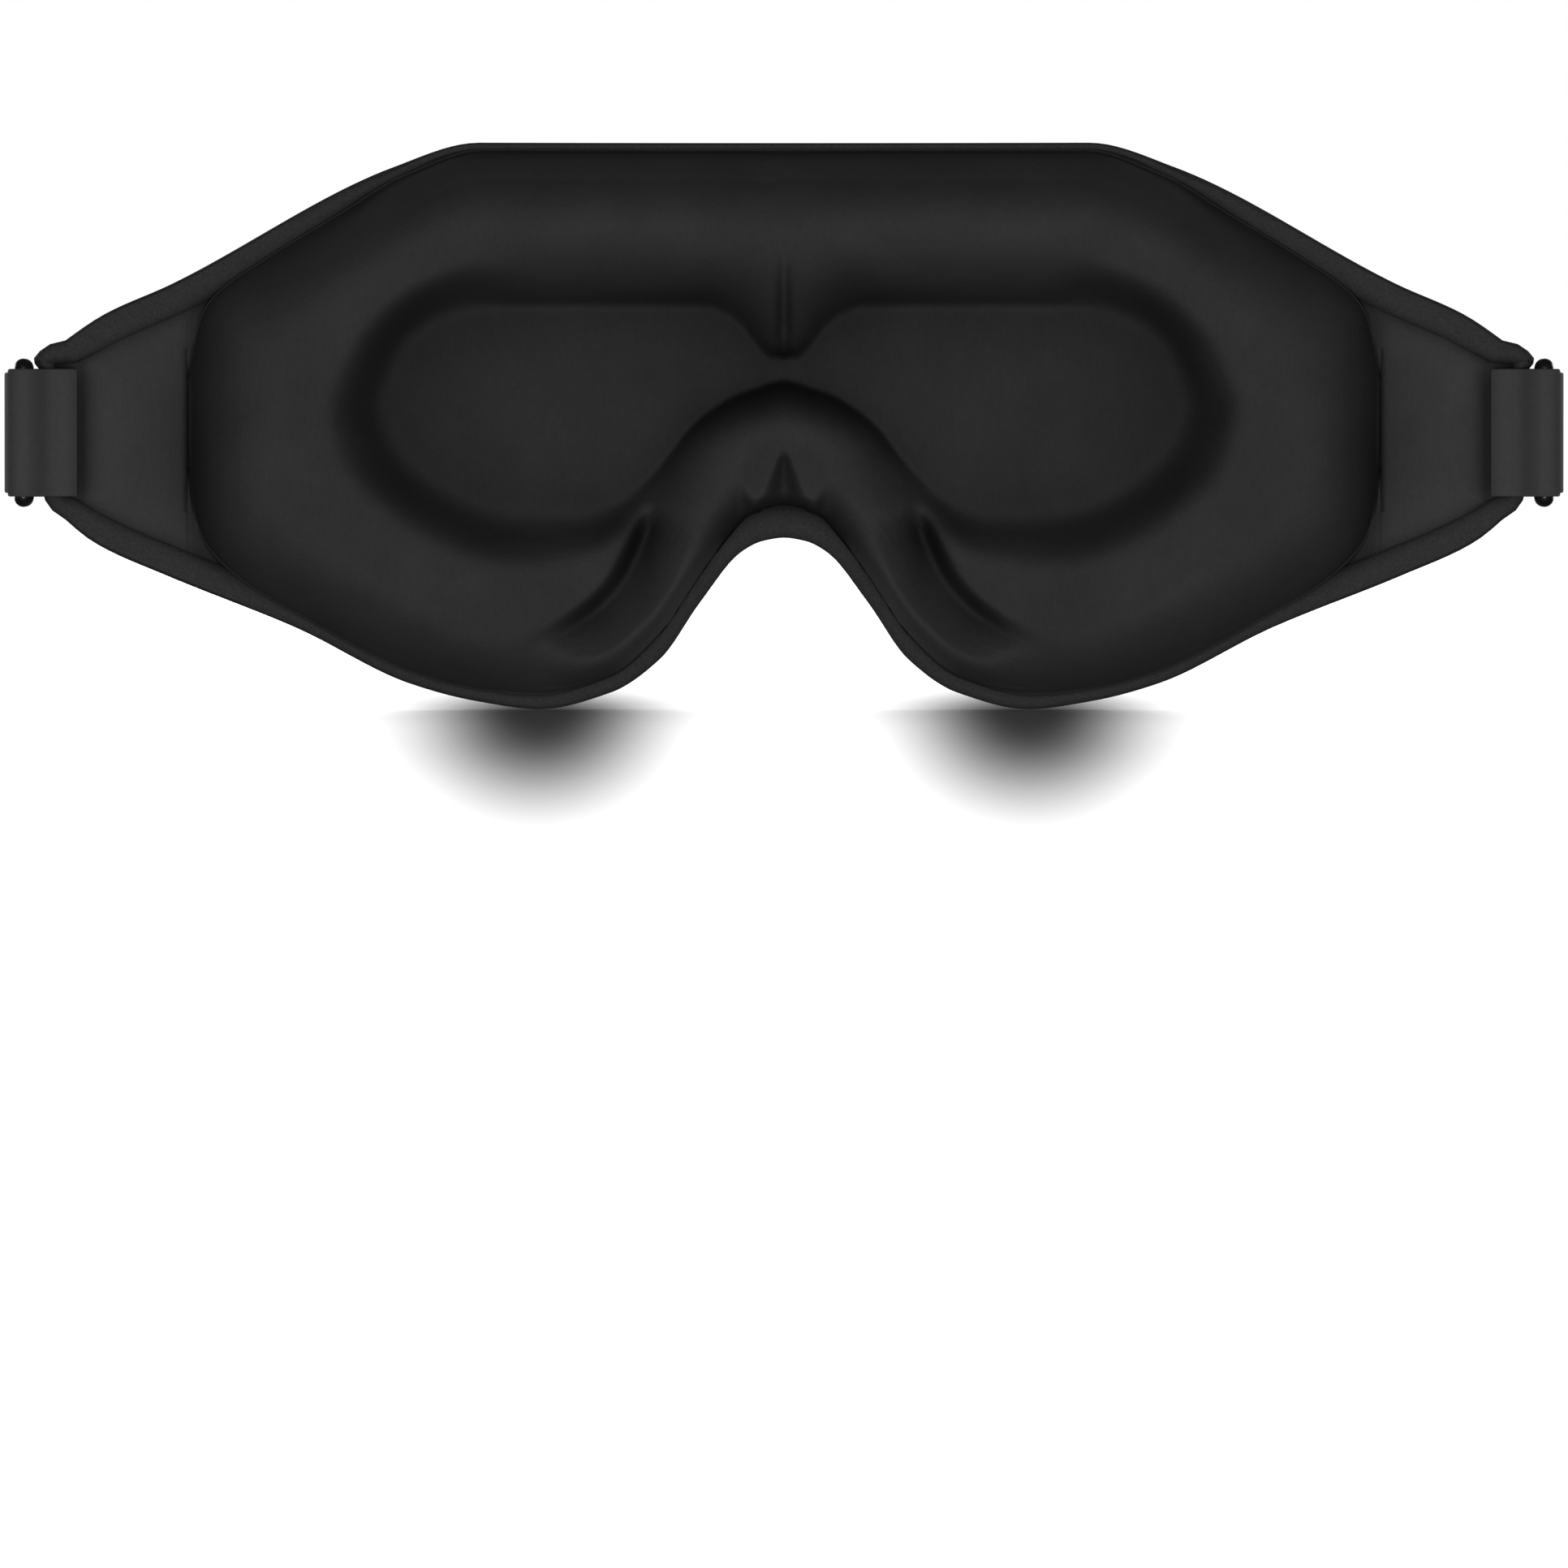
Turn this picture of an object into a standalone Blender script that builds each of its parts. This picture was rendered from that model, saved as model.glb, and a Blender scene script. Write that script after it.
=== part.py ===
"""A contoured sleep eye mask with elastic end loops, rings, strap adjusters and a head strap.

Frame: as worn, +Z up, the wearer looking along +Y, so the padded side faces -Y and the cover faces +Y.
The origin is on the plane of symmetry, on the cover's outer face, at the middle of the strap's width.
"Depth" is how far a layer lies behind the cover's outer face, measured towards the wearer (-Y).
"""

from math import cos, pi, radians, sin, sqrt

import bmesh
import bpy
import numpy as np
from mathutils import Matrix, Vector

MM = 0.001

# Outline of the whole mask: (distance from the middle, height), in millimetres
TOP_EDGE = [(0, 45.7), (48, 45.7), (61.5, 41.8), (96.2, 23.3), (106.5, 18.6), (115.9, 12.0)]
BOTTOM_EDGE = [(0, -16.6), (3.3, -17.1), (6.8, -18.9), (13.2, -26.8), (19.5, -35.7), (27.3, -41.0),
               (38.5, -43.6), (48, -42.4), (59, -39.5), (76.5, -30.8), (97, -22.4), (108, -17.3),
               (115.9, -10.6)]
# Outline of the moulded pad, inside the bound edge
PAD_TOP = [(0, 42.2), (47, 42.2), (60, 38.6), (70, 32.3), (82, 26.2), (90.6, 20.4), (93.4, 12.0)]
PAD_BOTTOM = [(0, -12.8), (6.8, -14.3), (13.2, -21.4), (19.5, -30.9), (27.3, -37.4), (38.5, -40.3),
              (48, -39.1), (59, -35.8), (76.5, -27.2), (89.9, -18.9), (93.4, -13.0)]
# Outline of the floor of the two eye cups, which meet over the nose
FLOOR_TOP = [(0, 12.2), (3.5, 12.6), (6.8, 17.0), (13, 19.9), (44, 19.9), (57, 14.5), (63.4, 4.0)]
FLOOR_BOTTOM = [(0, 8.0), (7.7, 6.7), (12.2, 2.9), (17.9, -2.8), (24.2, -9.1), (32, -11.6),
                (46, -8.5), (59, -3.4), (63.4, 4.0)]

# The wrap of the mask round the face, and its layers
WRAP_RADIUS = 320 * MM
PAD_END = 93.4 * MM          # where the pad stops and the flexible wing starts
WING_START = 95.0 * MM
WING_END = 115.9 * MM
GAP = 0.3 * MM               # clearance between touching pieces
COVER = 0.8 * MM
SHEET_FOAM = 2.4 * MM
PAD_FLANGE = 1.5 * MM        # thickness of the pad at its thin edge
RIM_HEIGHT = 18.0 * MM
FLOOR_HEIGHT = 2.5 * MM
RIM_FULLNESS = 0.7           # below 1 makes the rim's arch fuller than a half wave
LINING = 0.8 * MM
LINING_CLEARANCE = 0.8 * MM  # measured along Y, so the steep walls stay 0.3 mm apart
EDGE_INSET = 1.1 * MM        # the layers stop this far inside the binding
FLANGE_INSET = 2.7 * MM      # the lining lies flat from there out to its edge
BINDING = 0.8 * MM
FRONT_FLAP = 3.2 * MM        # reach of the folded binding over the cover and over the lining
FACE_FLAP = 1.7 * MM

FOAM_DEPTH = COVER + GAP
PAD_DEPTH = FOAM_DEPTH + SHEET_FOAM + GAP
BINDING_FRONT = -GAP - BINDING / 2
BINDING_FACE = PAD_DEPTH + LINING + GAP + BINDING / 2

# Elastic, rings and adjusters
ELASTIC = 1.0 * MM
ELASTIC_WIDTH = 20.0 * MM
LOOP_SEWN = 110.9 * MM       # inner end of the sewn loop
RING_X = 118.9 * MM
RING_BAR_X = 2.8 * MM
RING_BAR_Y = 2.2 * MM
RING_REACH = 6.8 * MM        # from the bar in the loop to the bar in the strap
RING_SLOT = 20.8 * MM
RING_SIDE = 1.2 * MM
RING_ROUNDING = 0.5 * MM
LOOP_INNER = PAD_DEPTH + LINING + 2 * GAP + BINDING + ELASTIC / 2
LOOP_OUTER = LOOP_INNER + ELASTIC + GAP
LOOP_TURN = 2.4 * MM
LOOP_SWEEP = radians(110)    # to each side of straight out
LOOP_UNDER_END = 116.2 * MM  # where each layer leaves the wing for the turn
LOOP_OVER_END = 112.6 * MM

# Route of the strap from a ring to the middle: straight, a bend, straight, then one long arc
LEG_OFFSET = RING_BAR_X / 2 + GAP + ELASTIC / 2
LEAD_STRAIGHT = 6.0 * MM
LEAD_BEND_RADIUS = 24.0 * MM
LEAD_BEND = radians(50)
ADJUSTER_RUN = 52.0 * MM
RETURN_OFFSET = 2 * LEG_OFFSET
TURN_LEG = 1.0 * MM          # how far the turn round the ring reaches up each leg
ADJUSTER_PLACE = 14.0 * MM   # along the adjuster run
ADJUSTER_HALF = 6.3 * MM
ADJUSTER_END_BAR = 2.0 * MM
ADJUSTER_MIDDLE_BAR = 2.6 * MM
ADJUSTER_SLOT = 20.8 * MM
ADJUSTER_RAIL = 1.6 * MM
ADJUSTER_BAR = 1.2 * MM
TAIL = 9.5 * MM              # sewn-down end of the strap beside the adjuster
FOLD_TURN = 0.9 * MM         # the fold round the middle bar starts here
FOLD_LEAVES = 2.5 * MM       # the folded layer comes down between these two places
FOLD_MEETS = 5.5 * MM
LEAD_STEP = 2.6 * MM         # spacing of the sections along the strap
BAND_STEP = 6.5 * MM

# Fineness of the layers
PAD_COLUMNS = 40
PAD_ROWS = 14
SHEET_ROWS = 4
WING_COLUMNS = 6
WING_ROWS = 4
SPREAD = 0.06                # how much the pad's columns and rows crowd towards its ends and edges

ORIGIN = Vector((0, 0, 0))


def collection(name):
    group = bpy.data.collections.new(name)
    bpy.context.scene.collection.children.link(group)
    return group


def material(name, colour, roughness, metallic=0.0):
    finish = bpy.data.materials.new(name)
    finish.use_nodes = True
    shader = finish.node_tree.nodes["Principled BSDF"]
    shader.inputs["Base Color"].default_value = (*colour, 1.0)
    shader.inputs["Roughness"].default_value = roughness
    shader.inputs["Metallic"].default_value = metallic
    return finish


# Outlines and the moulded relief

def through(points, x):
    """Height in metres of a smooth outline through a few points, without overshoot, mirrored about x = 0."""
    at, height = np.array(points, dtype=float).T * MM
    x = min(abs(x), at[-1])
    slope = np.diff(height) / np.diff(at)
    tangent = np.zeros(len(at))
    for i in range(1, len(at) - 1):
        if slope[i - 1] * slope[i] > 0:
            tangent[i] = 2 * slope[i - 1] * slope[i] / (slope[i - 1] + slope[i])
    tangent[-1] = slope[-1]
    i = min(int(np.searchsorted(at, x, side="right")) - 1, len(slope) - 1)
    span = at[i + 1] - at[i]
    t = (x - at[i]) / span
    return float((1 + 2 * t) * (1 - t) ** 2 * height[i] + t * (1 - t) ** 2 * span * tangent[i]
                 + t * t * (3 - 2 * t) * height[i + 1] + t * t * (t - 1) * span * tangent[i + 1])


def inset(points, x, distance):
    """Height of an outline moved inwards: down from a top edge, up from a bottom edge."""
    step = 0.5 * MM
    slope = (through(points, abs(x) + step) - through(points, abs(x) - step)) / (2 * step)
    inward = -1 if points[0][1] > 0 else 1
    return through(points, x) + inward * distance * sqrt(1 + slope * slope)


def front(x):
    return -x * x / (2 * WRAP_RADIUS)


def closed_outline(top, bottom, samples=120):
    end = top[-1][0] * MM
    xs = np.linspace(-end, end, samples)
    upper = [(x, through(top, x)) for x in xs]
    lower = [(x, through(bottom, x)) for x in xs]
    left = [(-end, z) for z in np.linspace(lower[0][1], upper[0][1], samples // 4)]
    right = [(end, z) for z in np.linspace(lower[-1][1], upper[-1][1], samples // 4)]
    return np.array(upper + lower + left + right)


PAD_OUTLINE = closed_outline(PAD_TOP, PAD_BOTTOM)
FLOOR_OUTLINE = closed_outline(FLOOR_TOP, FLOOR_BOTTOM)


def distance(outline, x, z):
    return float(np.min(np.hypot(outline[:, 0] - x, outline[:, 1] - z)))


def relief(x, z):
    """Height of the moulded pad: a rounded rim between the pad's edge and the floor of the eye cups."""
    to_edge = distance(PAD_OUTLINE, x, z)
    over_floor = abs(x) < FLOOR_TOP[-1][0] * MM and through(FLOOR_BOTTOM, x) < z < through(FLOOR_TOP, x)
    if over_floor:
        return FLOOR_HEIGHT
    to_floor = distance(FLOOR_OUTLINE, x, z)
    across = to_edge / (to_edge + to_floor)
    arch = max(sin(pi * across), 0.0) ** RIM_FULLNESS
    if across < 0.5:
        return RIM_HEIGHT * arch
    return FLOOR_HEIGHT + (RIM_HEIGHT - FLOOR_HEIGHT) * arch


# Builders

def solid(name, bm, finish, origin=ORIGIN):
    mesh = bpy.data.meshes.new(name)
    bm.to_mesh(mesh)
    bm.free()
    mesh.transform(Matrix.Translation(-Vector(origin)))
    mesh.materials.append(finish)
    part = bpy.data.objects.new(name, mesh)
    part.location = origin
    PARTS.objects.link(part)
    return part


def slab(name, columns, rows, near, far, finish, origin=ORIGIN):
    """A closed layer whose two faces lie at near(u, v) and far(u, v), where u and v run from -1 to 1."""
    bm = bmesh.new()
    bmesh.ops.create_grid(bm, x_segments=columns, y_segments=rows, size=1.0)
    bmesh.ops.triangulate(bm, faces=bm.faces[:], quad_method="FIXED")
    grown = bmesh.ops.extrude_face_region(bm, geom=bm.faces[:])["geom"]
    moved = {item for item in grown if isinstance(item, bmesh.types.BMVert)}
    for vert in bm.verts:
        place = far if vert in moved else near
        vert.co = place(vert.co.x, vert.co.y)
    bmesh.ops.recalc_face_normals(bm, faces=bm.faces[:])
    return solid(name, bm, finish, origin)


def strip(name, sections, thickness, finish, origin=ORIGIN):
    """A tape of even thickness, made from the open surface through a list of sections."""
    bm = bmesh.new()
    count = len(sections[0])
    bmesh.ops.create_grid(bm, x_segments=len(sections) - 1, y_segments=count - 1, size=1.0)
    for vert in bm.verts:
        i = round((vert.co.x + 1) / 2 * (len(sections) - 1))
        j = round((vert.co.y + 1) / 2 * (count - 1))
        vert.co = sections[i][j]
    part = solid(name, bm, finish, origin)
    skin = part.modifiers.new("thickness", "SOLIDIFY")
    skin.thickness = thickness
    skin.offset = 0.0
    skin.use_even_offset = True
    return part


def ribbon(name, route, finish, origin=ORIGIN):
    """A flat length of elastic, on edge, along a list of (x, y) points."""
    half = ELASTIC_WIDTH / 2
    sections = [[Vector((x, y, -half)), Vector((x, y, half))] for x, y in route]
    return strip(name, sections, ELASTIC, finish, origin)


def block(bm, low, high):
    """Adds a box between two corners."""
    low, high = Vector(low), Vector(high)
    place = Matrix.Translation((low + high) / 2) @ Matrix.Diagonal((*(high - low), 1.0))
    bmesh.ops.create_cube(bm, size=1.0, matrix=place)


def combine(base, tool, operation):
    """Adds a box to a base, or cuts it out, and puts the box out of sight."""
    PARTS.objects.unlink(tool)
    TOOLS.objects.link(tool)
    tool.hide_render = True
    tool.display_type = "WIRE"
    step = base.modifiers.new(tool.name, "BOOLEAN")
    step.operation = operation
    step.object = tool


# Layers of the mask

def columns_to_x(u):
    """Spreads the columns so that they are closest together over the nose and at the pad's ends."""
    return PAD_END * (u - SPREAD * sin(2 * pi * u))


def pad_rows(rows):
    """Fractions of the pad's height, closer together near its edges."""
    even = np.linspace(0, 1, rows + 1)
    return even - SPREAD * np.sin(2 * pi * even)


def layer(depth, edge):
    def place(u, v):
        x = columns_to_x(u)
        low = inset(BOTTOM_EDGE, x, edge)
        high = inset(TOP_EDGE, x, edge)
        return Vector((x, front(x) - depth, low + (v + 1) / 2 * (high - low)))
    return place


def pad_point(u, v, back):
    x = columns_to_x(u)
    low, high = through(PAD_BOTTOM, x), through(PAD_TOP, x)
    z = low + pad_rows(PAD_ROWS)[round((v + 1) / 2 * PAD_ROWS)] * (high - low)
    depth = PAD_DEPTH
    if not back:
        depth += PAD_FLANGE + relief(x, z)
    return Vector((x, front(x) - depth, z))


def lining_point(u, v, over):
    """The lining: two rows along each bound edge, and the pad's own rows between them."""
    rows = PAD_ROWS + 4
    row = round((v + 1) / 2 * rows)
    x = columns_to_x(u)
    low, high = through(PAD_BOTTOM, x), through(PAD_TOP, x)
    border = {0: inset(BOTTOM_EDGE, x, EDGE_INSET), 1: inset(BOTTOM_EDGE, x, FLANGE_INSET),
              rows - 1: inset(TOP_EDGE, x, FLANGE_INSET), rows: inset(TOP_EDGE, x, EDGE_INSET)}
    if row in border:
        z = border[row]
        depth = PAD_DEPTH
    else:
        z = low + pad_rows(PAD_ROWS)[row - 2] * (high - low)
        depth = PAD_DEPTH + PAD_FLANGE + relief(x, z) + LINING_CLEARANCE
    return Vector((x, front(x) - depth - over, z))


def make_centre():
    sheets = [("front_cover", 0, COVER, COVER_KNIT), ("front_foam", FOAM_DEPTH, SHEET_FOAM, FOAM)]
    for name, depth, thickness, finish in sheets:
        near, far = layer(depth, EDGE_INSET), layer(depth + thickness, EDGE_INSET)
        slab(name, PAD_COLUMNS, SHEET_ROWS, near, far, finish)
    slab("moulded_pad", PAD_COLUMNS, PAD_ROWS, lambda u, v: pad_point(u, v, True),
         lambda u, v: pad_point(u, v, False), FOAM)
    slab("face_lining", PAD_COLUMNS, PAD_ROWS + 4, lambda u, v: lining_point(u, v, 0.0),
         lambda u, v: lining_point(u, v, LINING), LINING_KNIT)


def binding_section(x, z, inward):
    """A folded tape over the edge at (x, z), where inward points into the mask in the XZ plane."""
    profile = [(FRONT_FLAP, BINDING_FRONT), (BINDING / 2, BINDING_FRONT),
               (BINDING / 2, BINDING_FACE), (FACE_FLAP, BINDING_FACE)]
    section = []
    for reach, depth in profile:
        px = x + inward.x * reach
        pz = z + inward.y * reach
        section.append(Vector((px, front(px) - depth, pz)))
    return section


def edge_direction(points, index):
    """Inward mitred direction at one point of an open path whose inside is on its right."""
    here = Vector(points[index])
    before = here - Vector(points[index - 1]) if index > 0 else None
    after = Vector(points[index + 1]) - here if index + 1 < len(points) else None
    steps = [step.normalized() for step in (before, after) if step is not None]
    along = sum(steps, Vector((0, 0))).normalized()
    inward = Vector((along.y, -along.x))
    return inward / max(abs(along.dot(steps[0])), 0.5)


def binding(name, path, finish, origin=ORIGIN):
    sections = [binding_section(x, z, edge_direction(path, i)) for i, (x, z) in enumerate(path)]
    return strip(name, sections, BINDING, finish, origin)


def make_bindings():
    xs = np.linspace(-PAD_END, PAD_END, 37)
    binding("top_binding", [(x, through(TOP_EDGE, x)) for x in xs], BINDING_TAPE)
    xs = np.linspace(PAD_END, -PAD_END, 61)
    binding("lower_binding", [(x, through(BOTTOM_EDGE, x)) for x in xs], BINDING_TAPE)


def wing_layer(side, depth, edge):
    def place(u, v):
        x = WING_START + (u + 1) / 2 * (WING_END - edge - WING_START)
        low, high = inset(BOTTOM_EDGE, x, edge), inset(TOP_EDGE, x, edge)
        return Vector((side * x, front(x) - depth, low + (v + 1) / 2 * (high - low)))
    return place


def wing_axis(side):
    """The flex line of a wing: upright, where the wing's face meets the pad's end."""
    return Vector((side * PAD_END, front(PAD_END) - PAD_DEPTH - LINING, 0))


def make_wing(side, word):
    axis = wing_axis(side)
    layers = [("wing_cover", 0, COVER, COVER_KNIT), ("wing_foam", FOAM_DEPTH, SHEET_FOAM, FOAM),
              ("wing_lining", PAD_DEPTH, LINING, LINING_KNIT)]
    for name, depth, thickness, finish in layers:
        near = wing_layer(side, depth, EDGE_INSET)
        far = wing_layer(side, depth + thickness, EDGE_INSET)
        slab(f"{word}_{name}", WING_COLUMNS, WING_ROWS, near, far, finish, axis)
    xs = np.linspace(WING_START, WING_END, 7)
    upper = [(x, through(TOP_EDGE, x)) for x in xs]
    lower = [(x, through(BOTTOM_EDGE, x)) for x in xs[::-1]]
    path = [(side * x, z) for x, z in upper + lower]
    binding(f"{word}_wing_binding", path if side > 0 else path[::-1], BINDING_TAPE, axis)


# Loops, rings, strap and adjusters

def ring_axis(side):
    return Vector((side * RING_X, front(RING_X) - (LOOP_INNER + LOOP_OUTER) / 2, 0))


def loop_route(side):
    """A teardrop: out along the wing's face, round the ring's bar and back on top of itself."""
    axis = ring_axis(side)
    route = [(x, front(x) - LOOP_INNER) for x in np.linspace(LOOP_SEWN, LOOP_UNDER_END, 4)]
    for angle in np.linspace(LOOP_SWEEP, -LOOP_SWEEP, 12):
        route.append((RING_X + LOOP_TURN * cos(angle), axis.y + LOOP_TURN * sin(angle)))
    route += [(x, front(x) - LOOP_OUTER) for x in (LOOP_OVER_END, LOOP_SEWN)]
    return [(side * x, y) for x, y in route]


def make_loop(side, word):
    ribbon(f"{word}_end_loop", loop_route(side), ELASTIC_WEB, wing_axis(side))


def make_ring(side, word):
    axis = ring_axis(side)
    outer = bmesh.new()
    half = RING_SLOT / 2 + RING_SIDE
    low_y, high_y = axis.y - RING_BAR_Y / 2, axis.y + RING_REACH + RING_BAR_Y / 2
    block(outer, (axis.x - RING_BAR_X / 2, low_y, -half), (axis.x + RING_BAR_X / 2, high_y, half))
    ring = solid(f"{word}_ring", outer, GLOSS_BLACK, axis)
    inner = bmesh.new()
    block(inner, (axis.x - RING_BAR_X, low_y + RING_BAR_Y, -RING_SLOT / 2),
          (axis.x + RING_BAR_X, high_y - RING_BAR_Y, RING_SLOT / 2))
    slot = solid(f"{word}_ring_slot", inner, GLOSS_BLACK)
    combine(ring, slot, "DIFFERENCE")
    rounded = ring.modifiers.new("rounded", "BEVEL")
    rounded.width = RING_ROUNDING
    rounded.segments = 2


def strap_start(side):
    axis = ring_axis(side)
    return Vector((side * (RING_X + LEG_OFFSET), axis.y + RING_REACH, 0))


def strap_point(distance_along, offset=0.0):
    """A point of the strap's right half, offset towards the mask, and the heading there."""
    start = strap_start(1)
    x, y, heading = start.x, start.y, radians(90)
    runs = [(LEAD_STRAIGHT, 0.0), (LEAD_BEND_RADIUS * LEAD_BEND, LEAD_BEND), (ADJUSTER_RUN, 0.0)]
    left = distance_along
    for length, turn in runs + [(arc_length(), radians(90) - LEAD_BEND)]:
        used = min(left, length)
        if turn:
            radius = length / turn
            swept = used / radius
            x += radius * (cos(heading) * sin(swept) - sin(heading) * (1 - cos(swept)))
            y += radius * (sin(heading) * sin(swept) + cos(heading) * (1 - cos(swept)))
            heading += swept
        else:
            x += used * cos(heading)
            y += used * sin(heading)
        left -= used
    return x - offset * sin(heading), y + offset * cos(heading), heading


def arc_radius():
    """Radius of the long arc that brings the strap square to the plane of symmetry."""
    bend = LEAD_BEND_RADIUS * (1 - cos(LEAD_BEND))
    reached = strap_start(1).x - bend - ADJUSTER_RUN * sin(LEAD_BEND)
    return reached / cos(LEAD_BEND)


def arc_length():
    return arc_radius() * (radians(90) - LEAD_BEND)


def strap_route(side, start, end, offset, step):
    count = max(2, round((end - start) / step) + 1)
    points = [strap_point(s, offset) for s in np.linspace(start, end, count)]
    return [(side * x, y) for x, y, _ in points]


BEND_END = LEAD_STRAIGHT + LEAD_BEND_RADIUS * LEAD_BEND
ADJUSTER_AT = BEND_END + ADJUSTER_PLACE


def make_strap_turn(side, word):
    """The strap's turn round the ring's outer bar."""
    axis = ring_axis(side)
    bottom = axis.y + RING_REACH
    top = bottom + TURN_LEG
    route = [(LEG_OFFSET, top)]
    turn = np.linspace(0, pi, 9)
    route += [(LEG_OFFSET * cos(a), bottom - LEG_OFFSET * sin(a)) for a in turn]
    route.append((-LEG_OFFSET, top))
    ribbon(f"{word}_strap_turn", [(side * (RING_X + x), y) for x, y in route], ELASTIC_WEB, axis)


def make_strap_sides(side, word):
    start = TURN_LEG + GAP
    ribbon(f"{word}_strap_lead", strap_route(side, start, BEND_END, 0.0, LEAD_STEP), ELASTIC_WEB)
    reach = ADJUSTER_AT - TAIL - GAP
    ribbon(f"{word}_strap_return", strap_route(side, start, reach, RETURN_OFFSET, LEAD_STEP), ELASTIC_WEB)


def make_strap_band():
    whole = BEND_END + ADJUSTER_RUN + arc_length()
    right = strap_route(1, BEND_END + GAP, whole, 0.0, BAND_STEP)
    left = [(-x, y) for x, y in right]
    ribbon("strap_band", left + right[-2::-1], ELASTIC_WEB)


def adjuster_frame(side):
    """Turns (along the strap, away from the mask, up) into the mask's axes at the adjuster."""
    x, y, heading = strap_point(ADJUSTER_AT)
    along = Vector((side * cos(heading), sin(heading), 0))
    out = Vector((side * sin(heading), -cos(heading), 0))
    return Vector((side * x, y, 0)), along, out


def make_adjuster(side, word):
    """A slider: two end bars outside the strap, a middle bar inside it, and a rail along each edge."""
    place, along, out = adjuster_frame(side)
    low = -(ELASTIC / 2 + GAP + ELASTIC + GAP + ADJUSTER_BAR)
    high = ELASTIC / 2 + GAP + ADJUSTER_BAR
    slot = ADJUSTER_SLOT / 2
    turned = Matrix((along, out, Vector((0, 0, 1)))).transposed().to_4x4()
    turned.translation = place

    def bar(name, corner, opposite):
        bm = bmesh.new()
        block(bm, corner, opposite)
        bm.transform(turned)
        bmesh.ops.recalc_face_normals(bm, faces=bm.faces[:])
        return solid(name, bm, GLOSS_BLACK, place)

    frame = bar(f"{word}_adjuster", (-ADJUSTER_HALF, low, slot), (ADJUSTER_HALF, high, slot + ADJUSTER_RAIL))
    over = ADJUSTER_RAIL / 2
    joined = [bar(f"{word}_lower_rail", (-ADJUSTER_HALF, low, -slot - ADJUSTER_RAIL),
                  (ADJUSTER_HALF, high, -slot)),
              bar(f"{word}_middle_bar", (-ADJUSTER_MIDDLE_BAR / 2, low, -slot - over),
                  (ADJUSTER_MIDDLE_BAR / 2, low + ADJUSTER_BAR, slot + over))]
    for end in (-1, 1):
        edge = sorted((end * ADJUSTER_HALF, end * (ADJUSTER_HALF - ADJUSTER_END_BAR)))
        joined.append(bar(f"{word}_end_bar_{end}", (edge[0], high - ADJUSTER_BAR, -slot - over),
                          (edge[1], high, slot + over)))
    for other in joined:
        combine(frame, other, "UNION")


def make_strap_end(side, word):
    """The strap's sewn end, which holds the adjuster's middle bar."""
    place, along, out = adjuster_frame(side)
    upper = -(ELASTIC / 2 + GAP + ELASTIC / 2)
    lower = -RETURN_OFFSET
    middle, radius = (upper + lower) / 2, (upper - lower) / 2
    folded = lower + ELASTIC + GAP
    route = [(-TAIL, lower), (-TAIL / 2, lower), (FOLD_TURN, lower)]
    route += [(FOLD_TURN + radius * sin(a), middle - radius * cos(a)) for a in np.linspace(0, pi, 9)[1:]]
    route += [(-FOLD_LEAVES, upper), (-FOLD_MEETS, folded), (-TAIL, folded)]
    points = [place + along * a + out * b for a, b in route]
    ribbon(f"{word}_strap_end", [(p.x, p.y) for p in points], ELASTIC_WEB, place)


for old in list(bpy.data.objects):
    bpy.data.objects.remove(old, do_unlink=True)
PARTS = collection("sleep_eye_mask")
TOOLS = collection("cutters_and_joined_bars")

COVER_KNIT = material("cover_knit", (0.016, 0.016, 0.017), 0.95)
LINING_KNIT = material("lining_knit", (0.020, 0.020, 0.021), 0.85)
FOAM = material("memory_foam", (0.09, 0.09, 0.10), 0.95)
BINDING_TAPE = material("binding_tape", (0.018, 0.018, 0.019), 0.8)
ELASTIC_WEB = material("elastic_web", (0.022, 0.022, 0.023), 0.75)
GLOSS_BLACK = material("gloss_black", (0.006, 0.006, 0.006), 0.25)

make_centre()
make_bindings()
for side, word in ((-1, "left"), (1, "right")):
    make_wing(side, word)
    make_loop(side, word)
    make_ring(side, word)
    make_strap_turn(side, word)
    make_strap_sides(side, word)
    make_adjuster(side, word)
    make_strap_end(side, word)
make_strap_band()
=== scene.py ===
"""Looks for the contoured sleep eye mask: knit cover and lining, binding, elastic, rings and sliders.

"Depth" is how far a surface lies behind the cover's outer face, measured towards the wearer (-Y).
Lengths in the outline lists are in millimetres; everything else is in metres.
"""

from math import cos, pi, radians, sin

import bmesh
import bpy
import numpy as np
from mathutils import Matrix, Vector


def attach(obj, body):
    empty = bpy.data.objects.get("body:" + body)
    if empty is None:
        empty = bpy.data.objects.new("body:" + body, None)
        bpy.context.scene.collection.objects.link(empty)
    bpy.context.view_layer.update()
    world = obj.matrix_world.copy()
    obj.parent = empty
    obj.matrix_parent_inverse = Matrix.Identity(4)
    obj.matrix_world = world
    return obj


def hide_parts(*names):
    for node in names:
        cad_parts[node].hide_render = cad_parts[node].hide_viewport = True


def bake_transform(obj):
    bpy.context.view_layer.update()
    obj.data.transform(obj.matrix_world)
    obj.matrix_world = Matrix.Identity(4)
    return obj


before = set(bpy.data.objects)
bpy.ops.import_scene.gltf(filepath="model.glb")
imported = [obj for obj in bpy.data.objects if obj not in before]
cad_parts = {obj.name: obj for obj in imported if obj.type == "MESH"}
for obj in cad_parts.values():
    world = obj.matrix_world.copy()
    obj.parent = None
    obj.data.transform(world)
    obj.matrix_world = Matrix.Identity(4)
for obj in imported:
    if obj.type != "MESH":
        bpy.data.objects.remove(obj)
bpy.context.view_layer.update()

MM = 0.001
SIDES = (("left", -1), ("right", 1))

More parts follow.
